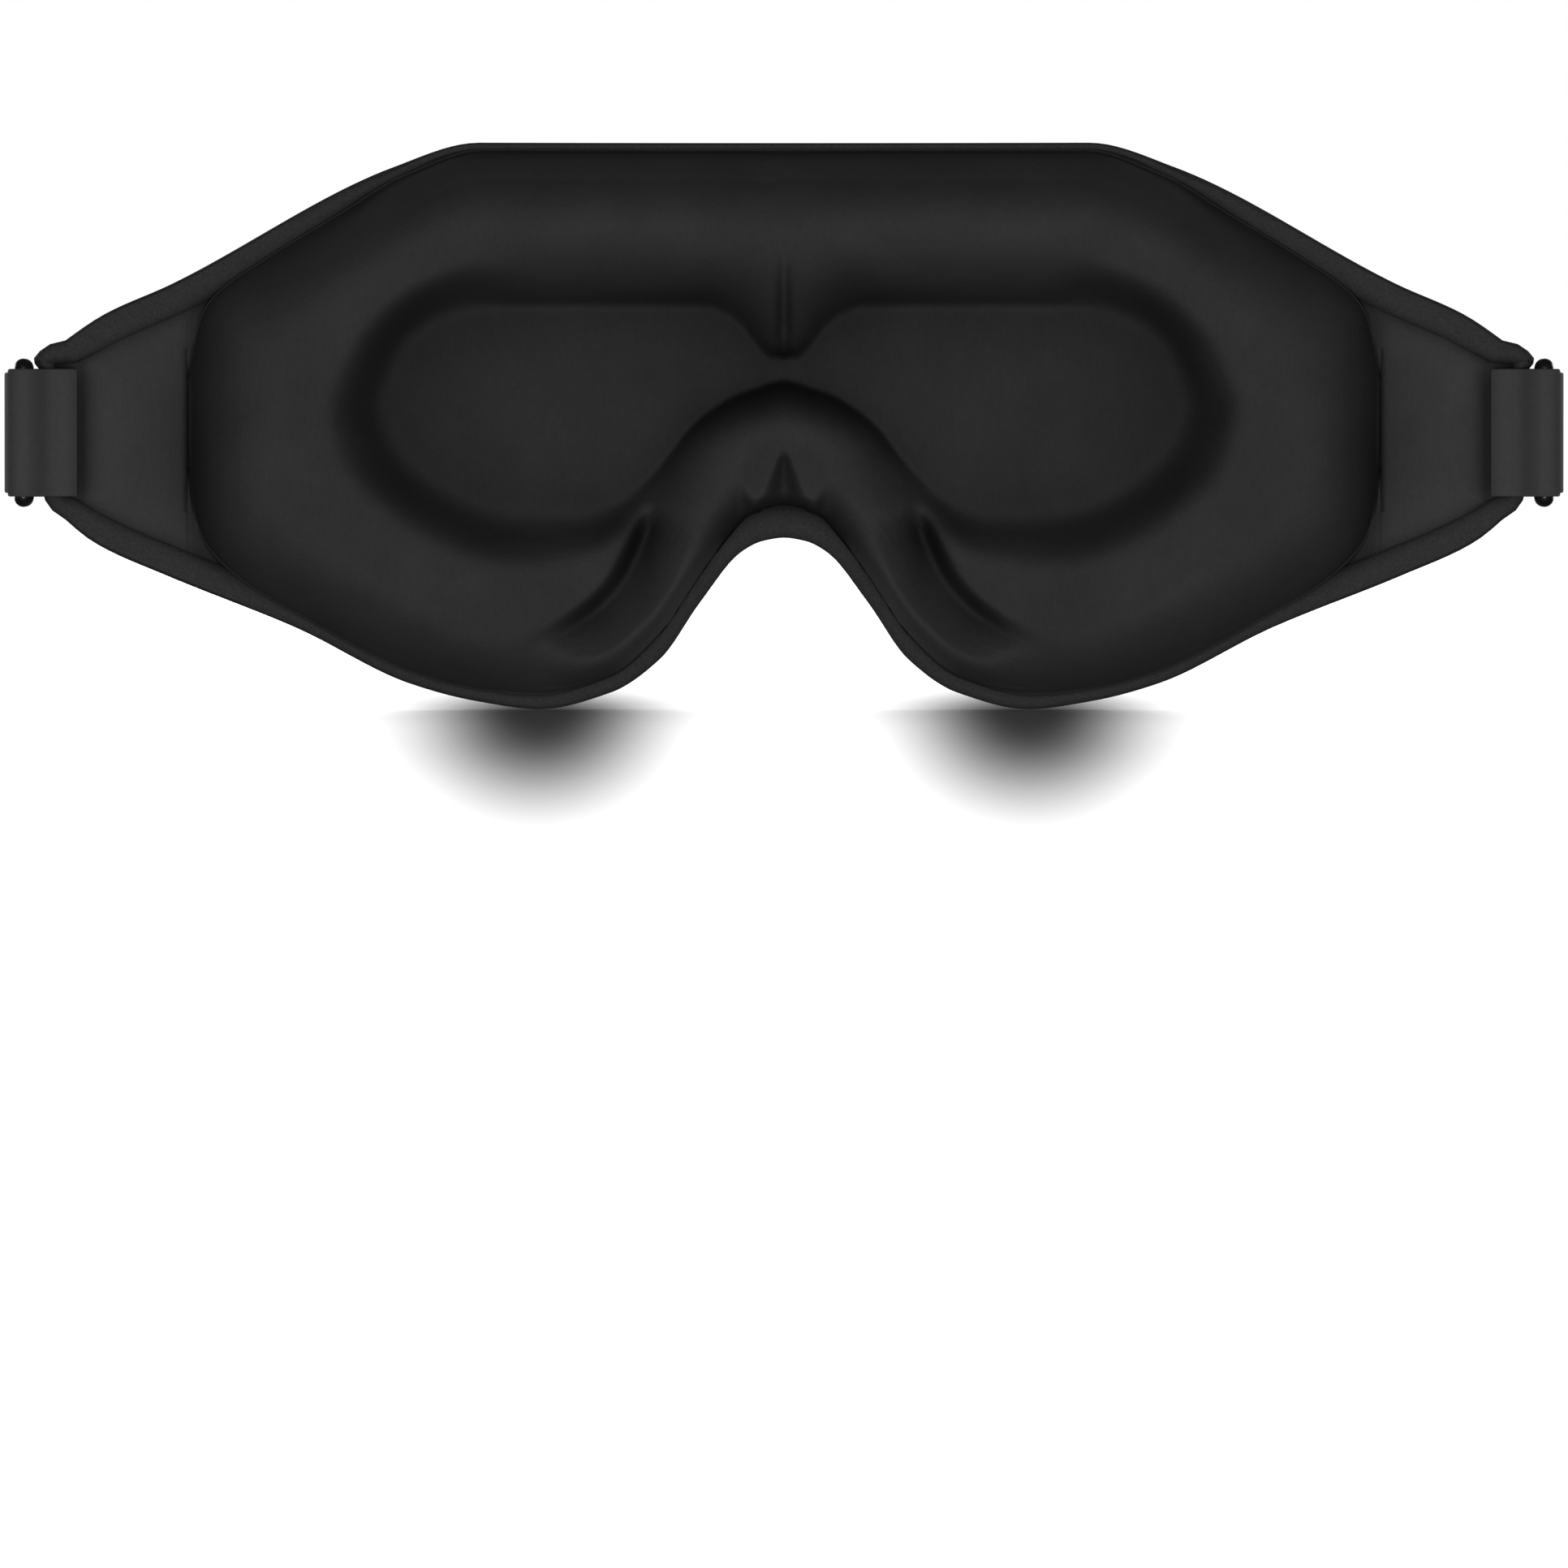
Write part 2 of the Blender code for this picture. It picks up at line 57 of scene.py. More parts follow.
# Outlines, the same as the frame's
TOP_EDGE = [(0, 45.7), (48, 45.7), (61.5, 41.8), (96.2, 23.3), (106.5, 18.6), (115.9, 12.0)]
BOTTOM_EDGE = [(0, -16.6), (3.3, -17.1), (6.8, -18.9), (13.2, -26.8), (19.5, -35.7), (27.3, -41.0),
               (38.5, -43.6), (48, -42.4), (59, -39.5), (76.5, -30.8), (97, -22.4), (108, -17.3),
               (115.9, -10.6)]
PAD_TOP = [(0, 44.6), (47, 44.6), (60, 40.4), (70, 34.4), (82, 27.0), (88, 22.8), (90.8, 19.6), (92.4, 15.0),
           (93.4, 8.0)]
PAD_BOTTOM = [(0, -11.8), (5.0, -12.8), (8.5, -16.2), (13.2, -22.5), (19.5, -31.7), (27.3, -38.4),
              (38.5, -41.3), (48, -40.5), (59, -37.6), (76.5, -28.5), (84, -24.0), (88.5, -20.2), (91.5, -16.0),
              (92.9, -10.6), (93.4, -5.0)]
FLOOR_TOP = [(0, 11.8), (2.1, 11.9), (4.7, 14.3), (6.5, 16.7), (9.1, 18.7), (12.6, 19.9), (46, 19.9),
             (54, 18.2), (60, 13.6), (63.4, 4.0)]
FLOOR_BOTTOM = [(0, 8.2), (3.9, 7.2), (7.8, 5.8), (11.7, 3.4), (14.8, 0.8), (17.9, -3.2), (20.9, -6.7),
                (25, -10.5), (31, -13.0), (44, -12.6), (53, -9.2), (60, -3.6), (63.4, 4.0)]
# Where the lower rim tucks under the nose roll
ROLL_CREASE = [(21.2, -10.0), (22.5, -12.8), (24.0, -16.2), (25.9, -20.5), (28.0, -23.8), (30.8, -26.6),
               (34.1, -28.9), (38.3, -31.3), (45.3, -33.1)]
CREASE_DEPTH = 6.5 * MM
CREASE_REACH = 12 * MM       # from the crease to the crest of the nose roll
CREASE_SAMPLES = 120
CREASE_ROUNDING = 40         # times that the crease's line is averaged with itself

WRAP_RADIUS = 320 * MM
PAD_END = 93.4 * MM
WING_END = 115.9 * MM
COVER = 0.8 * MM
LINING = 0.8 * MM
PAD_DEPTH = 3.8 * MM
PAD_FLANGE = 1.5 * MM
LINING_CLEARANCE = 0.8 * MM
RIM_HEIGHT = 18.0 * MM
FLOOR_HEIGHT = 2.5 * MM
EDGE_INSET = 1.0 * MM
OUTLINE_SLACK = 0.12 * MM    # half the spacing of the outline's points
LOBE_X = 38.5 * MM           # the mask stands on its two lobes, this far from the middle
FOAM_GAP = 0.3 * MM          # between the foam and its cover or lining

ELASTIC = 1.0 * MM
ELASTIC_WIDTH = 20.0 * MM
RING_BAR_X = 2.8 * MM
RING_BAR_Y = 2.2 * MM
RING_REACH = 6.8 * MM
RING_HEIGHT = 23.2 * MM
LOOP_SEWN = 110.9 * MM
LOOP_INNER = 6.5 * MM
LOOP_OUTER = 7.8 * MM
LOOP_TURN = 2.4 * MM
RING_X = 118.9 * MM
RING_Y = -(RING_X ** 2) / (2 * WRAP_RADIUS) - (LOOP_INNER + LOOP_OUTER) / 2

LEG_OFFSET = RING_BAR_X / 2 + 0.3 * MM + ELASTIC / 2
LEAD_STRAIGHT = 6.0 * MM
LEAD_BEND_RADIUS = 24.0 * MM
LEAD_BEND = radians(50)
LEAD_SPLIT = 14.0 * MM
ADJUSTER_RUN = 52.0 * MM
RETURN_OFFSET = 2 * LEG_OFFSET
TURN_LEG = 1.0 * MM
ADJUSTER_PLACE = 14.0 * MM
TAIL = 9.5 * MM

# How finely the lining's grid is made, and the narrow step in it off the pad's edge
PAD_STEPS = 170
WING_STEPS = 30
MARGIN_STEPS = 8
GRID_GAP = 0.25 * MM


# Outlines and relief, on whole arrays of points

def through(points, x):
    """Height of a smooth outline through a few points, without overshoot, mirrored about x = 0."""
    at, height = np.array(points, dtype=float).T * MM
    x = np.minimum(np.abs(np.asarray(x, dtype=float)), at[-1])
    slope = np.diff(height) / np.diff(at)
    tangent = np.zeros(len(at))
    for i in range(1, len(at) - 1):
        if slope[i - 1] * slope[i] > 0:
            tangent[i] = 2 * slope[i - 1] * slope[i] / (slope[i - 1] + slope[i])
    tangent[-1] = slope[-1]
    i = np.clip(np.searchsorted(at, x, side="right") - 1, 0, len(slope) - 1)
    span = at[i + 1] - at[i]
    t = (x - at[i]) / span
    return ((1 + 2 * t) * (1 - t) ** 2 * height[i] + t * (1 - t) ** 2 * span * tangent[i]
            + t * t * (3 - 2 * t) * height[i + 1] + t * t * (t - 1) * span * tangent[i + 1])


def slope_of(points, x):
    """Steepness of an outline."""
    step = 0.5 * MM
    x = np.abs(np.asarray(x, dtype=float))
    return (through(points, x + step) - through(points, np.maximum(x - step, 0))) / (2 * step)


def inset(points, x, distance):
    """Height of an outline moved inwards: down from a top edge, up from a bottom edge."""
    inward = -1 if points[0][1] > 0 else 1
    return through(points, x) + inward * distance * np.sqrt(1 + slope_of(points, x) ** 2)


def front(x):
    """Y of the mask's front, which curves back towards the wings."""
    return -np.asarray(x) ** 2 / (2 * WRAP_RADIUS)


def smoothstep(low, high, value):
    t = np.clip((value - low) / (high - low), 0, 1)
    return t * t * (3 - 2 * t)


def closed_outline(top, bottom, samples=700):
    """Points all along an outline, closer together towards its ends."""
    end = top[-1][0] * MM
    xs = end * np.sin(np.linspace(-pi / 2, pi / 2, samples))
    upper = np.stack([xs, through(top, xs)], 1)
    lower = np.stack([xs, through(bottom, xs)], 1)
    rise = np.linspace(lower[0][1], upper[0][1], samples // 6)
    ends = [np.stack([np.full_like(rise, x), rise], 1) for x in (-end, end)]
    return np.concatenate([upper, lower] + ends)


def distance(outline, x, z):
    """Distance from each point of a grid to the nearest of an outline's points."""
    flat = np.stack([np.ravel(x), np.ravel(z)], 1)
    found = np.empty(len(flat))
    batch = 4000
    for first in range(0, len(flat), batch):
        part = flat[first:first + batch]
        gap = (part[:, :1] - outline[:, 0]) ** 2 + (part[:, 1:] - outline[:, 1]) ** 2
        found[first:first + batch] = np.sqrt(gap.min(axis=1))
    return found.reshape(np.shape(x))


PAD_OUTLINE = closed_outline(PAD_TOP, PAD_BOTTOM, 1400)
FLOOR_OUTLINE = closed_outline(FLOOR_TOP, FLOOR_BOTTOM)
MASK_OUTLINE = closed_outline(TOP_EDGE, BOTTOM_EDGE)


def crease_distance(x, z):
    """Distance from the roll's crease, positive on the nose side, and how far along it the nearest place is."""
    px, pz = np.array(ROLL_CREASE, dtype=float).T * MM
    steps = np.linspace(0, len(px) - 1, CREASE_SAMPLES)
    cx, cz = np.interp(steps, range(len(px)), px), np.interp(steps, range(len(pz)), pz)
    for _ in range(CREASE_ROUNDING):
        cx[1:-1], cz[1:-1] = (cx[:-2] + cx[2:]) / 2, (cz[:-2] + cz[2:]) / 2
    gap = np.hypot(np.ravel(x)[:, None] - cx, np.ravel(z)[:, None] - cz)
    nearest = gap.argmin(axis=1)
    along_x, along_z = np.gradient(cx)[nearest], np.gradient(cz)[nearest]
    turn = along_x * (np.ravel(z) - cz[nearest]) - along_z * (np.ravel(x) - cx[nearest])
    found = -turn / np.hypot(along_x, along_z)
    return found.reshape(np.shape(x)), (nearest / (CREASE_SAMPLES - 1)).reshape(np.shape(x))


def soften(height, rounds):
    """Averages a grid of heights with its neighbours, leaving its border alone."""
    height = height.copy()
    for _ in range(rounds):
        near = (height[:-2, 1:-1] + height[2:, 1:-1] + height[1:-1, :-2] + height[1:-1, 2:]) / 4
        height[1:-1, 1:-1] = 0.5 * height[1:-1, 1:-1] + 0.5 * near
    return height


def relief(x, z, over_pad):
    """Height of the moulded pad on a grid: a rounded rim between the pad's edge and the floor of the eye cups.

    Across runs from 0 at the pad's edge to 1 at the floor's edge, and the rim's crest lies where crest says.
    The wall down to the floor ends in a crisp corner by the nose and the brow, and runs out softly elsewhere.
    """
    to_edge = np.maximum(distance(PAD_OUTLINE, x, z) - OUTLINE_SLACK, 0)
    over_floor = (x < FLOOR_TOP[-1][0] * MM) & (z > through(FLOOR_BOTTOM, x)) & (z < through(FLOOR_TOP, x))
    to_floor = np.where(over_floor, 0.0, distance(FLOOR_OUTLINE, x, z))
    across = to_edge / (to_edge + to_floor + 1e-9)
    past_crease, along_crease = crease_distance(x, z)
    # Shares from 0 to 1: beside the cups, low down, at the nose notch, on the lobe below the crease, on the bridge
    side = smoothstep(48 * MM, 66 * MM, x)
    low = 1 - smoothstep(-10 * MM, 6 * MM, z)
    notch = (1 - smoothstep(20 * MM, 34 * MM, x)) * low
    lobe = (1 - smoothstep(-26 * MM, -10 * MM, z)) * smoothstep(-2 * MM, 3 * MM, past_crease)
    lobe *= 1 - smoothstep(30 * MM, 40 * MM, x)
    bridge = (1 - smoothstep(4.5 * MM, 7.5 * MM, x)) * (1 - smoothstep(-8 * MM, 0 * MM, z))
    peak = RIM_HEIGHT * (1 - 0.3 * (1 - smoothstep(30 * MM, 52 * MM, x)) * low)
    crest = 0.48 + 0.06 * side - 0.13 * low - 0.2 * lobe - 0.22 * bridge
    rise = np.clip(across / crest, 0, 1)
    fall = np.clip((across - crest) / (1 - crest), 0, 1)
    # The rim's outer side is rounded, and steeper by the notch. Its inner side has two forms, which blend
    outer = peak * (1 - (1 - rise) ** 1.9) ** (0.95 - 0.35 * notch - 0.1 * lobe)
    crisp_wall = FLOOR_HEIGHT + (peak - FLOOR_HEIGHT) * (1 - fall ** (2.1 - 0.5 * notch))
    soft_wall = FLOOR_HEIGHT + (peak - FLOOR_HEIGHT) * (1 - smoothstep(0.42 + 0.1 * low, 1.03, fall))
    crisp_form = soften(np.where(over_pad, np.where(across < crest, outer, crisp_wall), 0), 1)
    soft_form = soften(np.where(over_pad, np.where(across < crest, outer, soft_wall), 0), 2)
    inside = smoothstep(0.0, 0.25, across / crest - 1.0)
    soft_form += inside * (soften(soft_form, 9) - soft_form)
    crisp = np.where(z > 5 * MM, 1 - smoothstep(40 * MM, 52 * MM, x), 1 - smoothstep(21 * MM, 28 * MM, x))
    height = crisp * crisp_form + (1 - crisp) * soft_form
    height = np.maximum(height - roll_crease(past_crease, along_crease), np.minimum(height, 3 * MM))
    height += brow_fin(x, z) - bridge_dart(x, z)
    return np.maximum(height, 0.2 * MM), to_edge


def brow_fin(x, z):
    """The thin upright ridge between the two cups."""
    fin = 1.8 * MM * np.exp(-(x / (0.9 * MM)) ** 2) * smoothstep(11.6 * MM, 13 * MM, z)
    return fin * (1 - smoothstep(20 * MM, 31 * MM, z))


def roll_crease(past_crease, along_crease):
    """The drop from the lower rim to the flank of the nose roll, which fades along the crease."""
    strength = smoothstep(0, 0.25, along_crease) * (1 - smoothstep(0.6, 1.0, along_crease))
    flank = np.clip(1 - past_crease / CREASE_REACH, 0, 1)
    return CREASE_DEPTH * smoothstep(-0.8 * MM, 2.4 * MM, past_crease) * flank * strength


def bridge_dart(x, z):
    """The dart below the nose roll, where the fabric is gathered into the binding."""
    lower = np.clip((-2.7 * MM - z) / (9.6 * MM), 0, 1)
    half = (0.6 + 4.2 * lower) * MM
    valley = (1 - smoothstep(0, 1, x / half)) * smoothstep(2.4 * MM, 4.5 * MM, -z)
    return (0.6 + 4.0 * lower) * MM * valley


def pillow(x, z):
    """How far the wing's panel swells between its bound edges and the loop."""
    band = face_flap(x, z > 0)
    top = through(TOP_EDGE, x) - z - band
    bottom = z - through(BOTTOM_EDGE, x) - band
    border = np.minimum(np.minimum(top, bottom), LOOP_SEWN - 0.3 * MM - x)
    height, run = 3.0 * MM, 3.5 * MM
    return height * (1 - np.exp(-np.maximum(border, 0) / run))


def face_flap(x, upper):
    """Width of the binding on the face side: widest on the wings and over the nose, hidden by the brow's overhang."""
    x = np.abs(x) / MM
    by_notch, over_nose, on_wing = 1 - smoothstep(22, 46, x), 1 - smoothstep(6, 16, x), smoothstep(68, 90, x)
    lower = 2.4 + 2.1 * on_wing + 1.1 * by_notch + 1.4 * over_nose
    return np.where(upper, 1.2 + 3.4 * smoothstep(52, 86, x), lower) * MM


# Mesh builders

def put(name, data):
    """A new object in the scene."""
    thing = bpy.data.objects.new(name, data)
    bpy.context.scene.collection.objects.link(thing)
    return thing


def new_piece(name, verts, faces, finish):
    mesh = bpy.data.meshes.new(name)
    mesh.from_pydata([tuple(v) for v in verts], [], [tuple(f) for f in faces])
    mesh.materials.append(finish)
    bm = bmesh.new()
    bm.from_mesh(mesh)
    bmesh.ops.recalc_face_normals(bm, faces=bm.faces[:])
    bm.to_mesh(mesh)
    bm.free()
    mesh.shade_smooth()
    return put(name, mesh)


def grid_faces(rows, columns, first=0):
    return [(first + r * columns + c, first + r * columns + c + 1,
             first + (r + 1) * columns + c + 1, first + (r + 1) * columns + c)
            for r in range(rows - 1) for c in range(columns - 1)]


def slab(name, near, far, finish, crisp_above=50):
    """A closed layer between two grids of points of the same shape, with sharp edges all round its border."""
    rows, columns = near.shape[:2]
    count = rows * columns
    faces = grid_faces(rows, columns) + [f[::-1] for f in grid_faces(rows, columns, count)]
    border = [r * columns for r in range(rows)]
    border += [(rows - 1) * columns + c for c in range(1, columns)]
    border += [r * columns + columns - 1 for r in range(rows - 2, -1, -1)]
    border += [c for c in range(columns - 2, 0, -1)]
    for a, b in zip(border, border[1:] + border[:1]):
        faces.append((a, b, b + count, a + count))
    piece = new_piece(name, np.concatenate([near.reshape(-1, 3), far.reshape(-1, 3)]), faces, finish)
    piece.data.set_sharp_from_angle(angle=radians(crisp_above))
    rim = set(border)
    for edge in piece.data.edges:
        if all(vert % count in rim for vert in edge.vertices):
            edge.use_edge_sharp = True
    return piece


def tape(name, sections, thickness, finish):
    """A tape of even thickness through a grid of points."""
    rows, columns = sections.shape[:2]
    piece = new_piece(name, sections.reshape(-1, 3), grid_faces(rows, columns), finish)
    skin = piece.modifiers.new("thickness", "SOLIDIFY")
    skin.thickness = thickness
    skin.offset = 0.0
    soft = piece.modifiers.new("soft edges", "BEVEL")
    soft.width = thickness * 0.3
    soft.segments = 2
    soft.limit_method = "ANGLE"
    soft.angle_limit = radians(50)
    return piece


def place(x, depth, z, side):
    """Points at a depth behind the curved front, on one side of the mask."""
    return np.stack([side * x, front(x) - depth, z], -1)


# The half outline's height

def cut_from():
    """Works out the height of the mask's half outline along its length, and keeps nothing of it."""
    x = np.linspace(0, WING_END, 300)
    height = through(TOP_EDGE, x) - through(BOTTOM_EDGE, x)


# Materials

def material(name, colour, roughness, sheen=0.0, specular=0.3):
    finish = bpy.data.materials.new(name)
    finish.use_nodes = True
    shader = finish.node_tree.nodes["Principled BSDF"]
    shader.inputs["Base Color"].default_value = (*colour, 1.0)
    shader.inputs["Roughness"].default_value = roughness
    shader.inputs["Specular IOR Level"].default_value = specular
    shader.inputs["Sheen Weight"].default_value = sheen
    shader.inputs["Sheen Roughness"].default_value = 0.45
    return finish, finish.node_tree, shader


def connect(tree, socket, value):
    """Links an input to another node's output, or sets it to a plain value."""
    if isinstance(value, bpy.types.NodeSocket):
        tree.links.new(value, socket)
    else:
        socket.default_value = value


def add(tree, kind, **settings):
    """A shader node, with its inputs and its other settings given by name."""
    node = tree.nodes.new(kind)
    for key, value in settings.items():
        if key in node.inputs:
            connect(tree, node.inputs[key], value)
        else:
            setattr(node, key, value)
    return node


def maths(tree, kind, operation, *operands):
    """A maths node whose operands are plain values or other nodes' outputs."""
    node = add(tree, kind, operation=operation)
    for socket, operand in zip(node.inputs, operands):
        connect(tree, socket, operand)
    return node


def scaled(tree, vector, factor):
    node = maths(tree, "ShaderNodeVectorMath", "SCALE", vector)
    connect(tree, node.inputs["Scale"], factor)
    return node.outputs[0]


def stretched(tree, where, factors):
    return maths(tree, "ShaderNodeVectorMath", "MULTIPLY", where, factors).outputs[0]


def object_mm(tree):
    """Object coordinates in millimetres."""
    return scaled(tree, add(tree, "ShaderNodeTexCoord").outputs["Object"], 1 / MM)


def from_middle(tree, where):
    """How far a place is from the middle of the mask on either side, and its y."""
    split = add(tree, "ShaderNodeSeparateXYZ", Vector=where)
    return maths(tree, "ShaderNodeMath", "ABSOLUTE", split.outputs["X"]).outputs[0], split.outputs["Y"]


def noise(tree, where, scale, detail=2.0, roughness=0.55):
    node = add(tree, "ShaderNodeTexNoise", Vector=where, Scale=scale, Detail=detail, Roughness=roughness)
    return node.outputs["Fac"]


def shades(tree, factor, low, high, start=0.3, end=0.7):
    """Maps a factor to a run of colours from low to high."""
    ramp = add(tree, "ShaderNodeValToRGB", Fac=factor)
    for element, position, colour in zip(ramp.color_ramp.elements, (start, end), (low, high)):
        element.position = position
        element.color = (*colour, 1.0)
    return ramp.outputs["Color"]


def mapped(tree, value, span, result, interpolation="LINEAR"):
    """Maps a value from one span of numbers to another."""
    node = add(tree, "ShaderNodeMapRange", interpolation_type=interpolation, Value=value)
    for name, number in zip(("From Min", "From Max", "To Min", "To Max"), (*span, *result)):
        node.inputs[name].default_value = number
    return node.outputs["Result"]


# A mix node's two inputs and its output, for each type of data
MIX_SOCKETS = {"FLOAT": (2, 3, 0), "RGBA": (6, 7, 2)}


def blended(tree, a, b, share, data_type="FLOAT"):
    node = add(tree, "ShaderNodeMix", data_type=data_type)
    first, second, result = MIX_SOCKETS[data_type]
    node.inputs[0].default_value = share
    tree.links.new(a, node.inputs[first])
    tree.links.new(b, node.inputs[second])
    return node.outputs[result]


def relief_map(tree, shader, height, distance_mm, strength):
    bump = add(tree, "ShaderNodeBump", Height=height, Distance=distance_mm * MM, Strength=strength)
    tree.links.new(bump.outputs["Normal"], shader.inputs["Normal"])


def waves(tree, where, axis, pitch_mm):
    node = add(tree, "ShaderNodeTexWave", wave_type="BANDS", bands_direction=axis, Vector=where,
               Scale=pi / (10 * pitch_mm) * 2)
    return node.outputs["Fac"]


def grey(value):
    """A grey that is very slightly blue."""
    return (value, value, value * 1.03)


def pale_floor():
    """White card with a painted shadow on it: a soft dark oval round each spot where the two lobes stand."""
    card = (0.92, 0.92, 0.92)
    foot, spread = (LOBE_X, -6 * MM, 0), (11.8 * MM, 16 * MM, 1)
    shadow_darkest = 0.029
    finish, tree, shader = material("pale_floor", card, 0.9, specular=0.0)
    outwards, back = from_middle(tree, add(tree, "ShaderNodeTexCoord").outputs["Object"])
    spot = add(tree, "ShaderNodeCombineXYZ", X=outwards, Y=back)
    from_foot = maths(tree, "ShaderNodeVectorMath", "SUBTRACT", spot.outputs[0], foot)
    in_spreads = maths(tree, "ShaderNodeVectorMath", "DIVIDE", from_foot.outputs[0], spread)
    radius = maths(tree, "ShaderNodeVectorMath", "LENGTH", in_spreads.outputs[0])
    # Painted shadow: darkest at each lobe's foot, fading to the card's white a little way off.
    light = mapped(tree, radius.outputs["Value"], (0.15, 2.8), (shadow_darkest, 1.0), "SMOOTHERSTEP")
    tree.links.new(scaled(tree, card, light), shader.inputs["Base Color"])
    return finish


def paint_shade_in_hollows(tree, shader, colour, strength, reach_mm=16, closing=1.0):
    """Darkens a surface's colour in its folds and hollows, where little light gets in, as painted shade, and links it
    to the shader.
    """
    openness = add(tree, "ShaderNodeAmbientOcclusion", samples=6, Distance=reach_mm * MM)
    sharper = maths(tree, "ShaderNodeMath", "POWER", openness.outputs["AO"], closing)
    painted_shade = scaled(tree, colour, sharper.outputs[0])
    tree.links.new(blended(tree, colour, painted_shade, strength, "RGBA"), shader.inputs["Base Color"])


def brushed_knit():
    """The cover: a brushed knit with a mottled, fibrous surface, with painted shade in its folds and hollows."""
    finish, tree, shader = material("brushed_knit", grey(0.024), 0.95, sheen=0.03, specular=0.05)
    where = object_mm(tree)
    fibres = noise(tree, where, 1.6, 3.0, 0.7)
    mottle = noise(tree, where, 0.55, 2.0)
    colour = shades(tree, blended(tree, fibres, mottle, 0.3), grey(0.012), grey(0.036), 0.36, 0.66)
    # Painted shade: the colour darkens where nearby surfaces close in round it.
    paint_shade_in_hollows(tree, shader, colour, 0.6)
    relief_map(tree, shader, fibres, 0.28, 0.8)
    return finish


def smooth_knit():
    """The lining: a fine, soft knit with faint upright wales, with painted shade in its cups and hollows, and a
    little lighter in colour out on the wings than on the pad.
    """
    finish, tree, shader = material("smooth_knit", grey(0.034), 0.9, specular=0.05)
    where = object_mm(tree)
    wales = noise(tree, stretched(tree, where, (2.6, 2.6, 0.5)), 1.0, 2.0, 0.6)
    courses = noise(tree, stretched(tree, where, (0.7, 0.7, 2.8)), 1.0, 2.0, 0.6)
    yarn = blended(tree, wales, courses, 0.4)
    soft = noise(tree, where, 0.09, 2.0)
    colour = shades(tree, blended(tree, yarn, soft, 0.45), grey(0.036), grey(0.046), 0.35, 0.65)
    outwards, _ = from_middle(tree, where)
    # A little lighter out on the wings than on the pad.
    wing_tone = mapped(tree, outwards, (92, 95), (0.72, 1.06))
    # Painted shade: the colour darkens strongly in the eye cups and other hollows.
    paint_shade_in_hollows(tree, shader, scaled(tree, colour, wing_tone), 1.0, 26, 1.6)
    relief_map(tree, shader, yarn, 0.12, 0.5)
    return finish


def bias_tape():
    """The binding: a finely ribbed folded tape, with painted shade in its creases."""
    finish, tree, shader = material("bias_tape", grey(0.034), 0.85, specular=0.05)
    grain = noise(tree, object_mm(tree), 2.4, 2.0, 0.6)
    # Painted shade: the colour darkens in the tape's creases and where it meets the lining.
    paint_shade_in_hollows(tree, shader, shades(tree, grain, grey(0.026), grey(0.035), 0.35, 0.65), 0.6, 5)
    relief_map(tree, shader, grain, 0.08, 0.5)
    return finish


def woven_elastic():
    """Elastic: narrow ribs along its length, crossed by picks, with painted shade where it folds or lies close to
    other parts.
    """
    finish, tree, shader = material("woven_elastic", grey(0.038), 0.8, specular=0.12)
    where = object_mm(tree)
    ribs = waves(tree, where, "Z", 0.6)
    picks = noise(tree, stretched(tree, where, (2.2, 2.2, 0.9)), 1.0, 1.0)
    weave = blended(tree, ribs, picks, 0.6)
    # Painted shade: the colour darkens where the elastic folds or lies close to other parts.
    paint_shade_in_hollows(tree, shader, shades(tree, weave, grey(0.036), grey(0.046), 0.2, 0.8), 0.8, 6)
    relief_map(tree, shader, weave, 0.06, 0.5)
    return finish


def gloss_plastic():
    """Rings and sliders: glossy moulded black with a slight ripple."""
    finish, tree, shader = material("gloss_plastic", grey(0.004), 0.35, specular=0.25)
    where = object_mm(tree)
    rough = shades(tree, noise(tree, where, 0.25, 2.0), (0.28,) * 3, (0.42,) * 3)
    tree.links.new(rough, shader.inputs["Roughness"])
    relief_map(tree, shader, noise(tree, where, 0.8, 2.0), 0.02, 0.3)
    return finish


def open_foam():
    """Foam inside the mask, with fine open cells."""
    finish, tree, shader = material("open_foam", grey(0.09), 0.95)
    cells = add(tree, "ShaderNodeTexVoronoi", Vector=object_mm(tree), Scale=2.0).outputs["Distance"]
    tree.links.new(shades(tree, cells, grey(0.05), grey(0.13), 0.1, 0.7), shader.inputs["Base Color"])
    relief_map(tree, shader, cells, 0.2, 0.5)
    return finish


KNIT = brushed_knit()
SMOOTH = smooth_knit()
TAPE = bias_tape()
WEB = woven_elastic()
PLASTIC = gloss_plastic()
FOAM = open_foam()


# The body of the mask, one half at a time

def half_columns():
    """Distances from the middle: finest at the middle and at the pad's end."""
    t = np.linspace(0, 1, PAD_STEPS)
    pad = PAD_END * (t - 0.07 * np.sin(2 * pi * t))
    wing = np.linspace(PAD_END + GRID_GAP, WING_END - EDGE_INSET, WING_STEPS)
    return np.concatenate([pad, wing])


